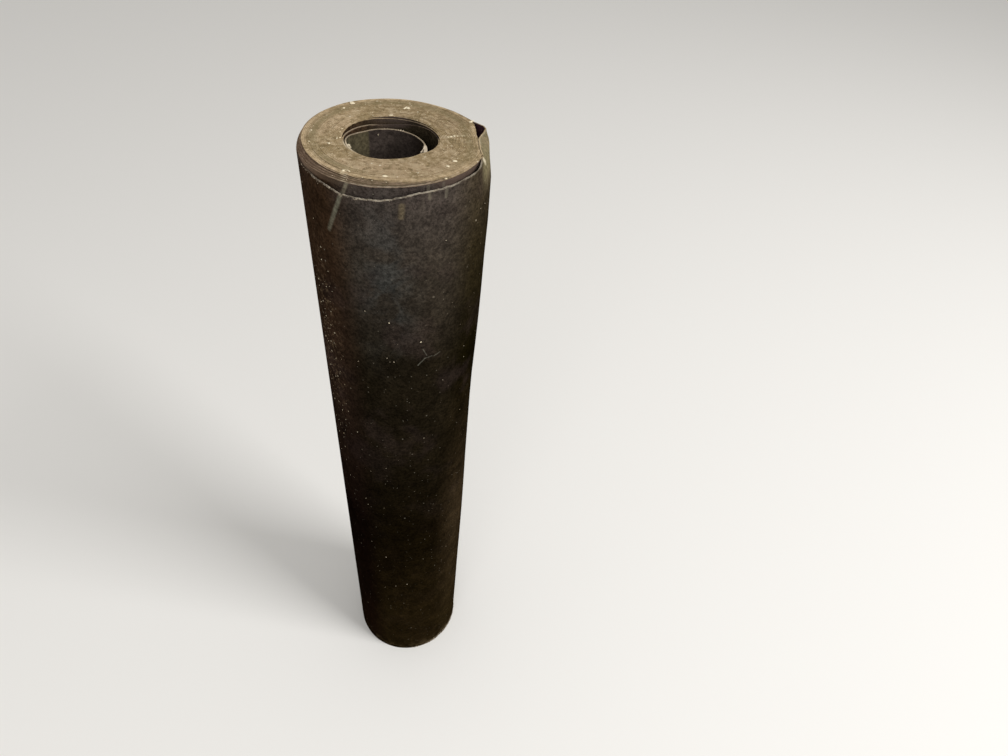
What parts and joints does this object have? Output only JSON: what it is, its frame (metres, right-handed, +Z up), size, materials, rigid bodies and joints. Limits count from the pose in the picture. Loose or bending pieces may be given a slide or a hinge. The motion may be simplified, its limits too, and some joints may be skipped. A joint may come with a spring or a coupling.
{
  "type": "roll of roofing felt",
  "caption": "Partly used roll of black asphalt roofing felt standing on its end, with an open middle, a loose first turn and a torn last turn.",
  "frame": {"origin": "on the floor, at the axis of the roll's last turn", "axes": "+Z up along the roll's axis; +X to the side with the sheet's free end; -Y to the front, where the last turn's top edge is torn down"},
  "size_m": [0.1675, 0.1642, 0.9144],
  "materials": {
    "asphalt_felt": "dry black asphalt-saturated felt, dusty tan on its wound ends"
  },
  "bodies": {
    "root": {"felt_roll": "asphalt_felt"}
  },
  "joints": []
}
